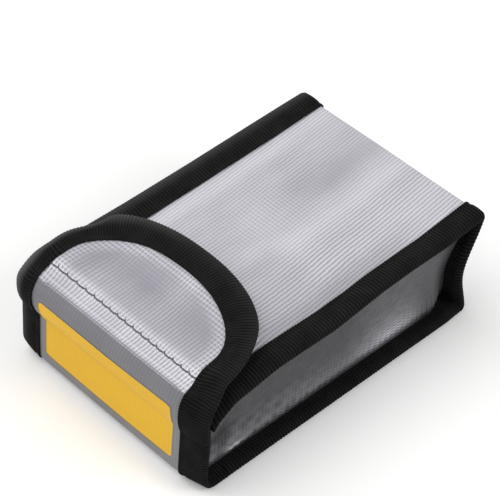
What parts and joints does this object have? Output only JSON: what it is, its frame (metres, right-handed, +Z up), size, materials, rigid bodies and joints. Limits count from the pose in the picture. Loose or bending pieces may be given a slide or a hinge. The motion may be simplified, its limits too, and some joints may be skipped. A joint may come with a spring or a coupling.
{
  "type": "battery safety bag",
  "caption": "Small box-shaped pouch of silver coated glass cloth with black taped edges, set-in side gussets and a folding front flap with a rounded tongue that closes with hook and loop tape.",
  "frame": {"origin": "centre of the footprint, on the surface that the bag rests on", "axes": "+Z up, +Y from the front wall and mouth towards the back, +X to the right seen from the front"},
  "size_m": [0.092, 0.14, 0.0479],
  "materials": {
    "silver_cloth": "satin metallic coating over a ribbed weave",
    "side_cloth": "satin metallic coating, in shade",
    "binding_tape": "matte ribbed weave",
    "binding_thread": "matte twisted thread",
    "zigzag_thread": "matte twisted thread",
    "patch": "satin film, blank",
    "hook_tape": "matte hooks",
    "loop_tape": "fuzzy loops"
  },
  "bodies": {
    "bag": {"body_panel": "silver_cloth", "left_gusset": "side_cloth", "right_gusset": "side_cloth", "left_seam_binding": "binding_tape", "right_seam_binding": "binding_tape", "mouth_binding": "binding_tape", "left_mouth_binding": "binding_tape", "right_mouth_binding": "binding_tape", "loop_tape": "loop_tape", "left_seam_stitching": "binding_thread", "right_seam_stitching": "binding_thread"},
    "front_flap": {"front_panel": "silver_cloth", "left_front_binding": "binding_tape", "right_front_binding": "binding_tape", "front_patch": "patch"},
    "tongue": {"tongue_panel": "silver_cloth", "tongue_binding": "binding_tape", "hook_tape": "hook_tape", "hook_tape_stitching": "zigzag_thread"}
  },
  "joints": [
    {"name": "front_fold", "type": "hinge", "parent": "bag", "child": "front_flap", "pos_m": [0, -0.0702, 0.00655], "axis": [1, 0, 0], "range_deg": [0, 90]},
    {"name": "tongue_fold", "type": "hinge", "parent": "front_flap", "child": "tongue", "pos_m": [0, -0.06345, 0.0461], "axis": [1, 0, 0], "range_deg": [0, 90]}
  ]
}
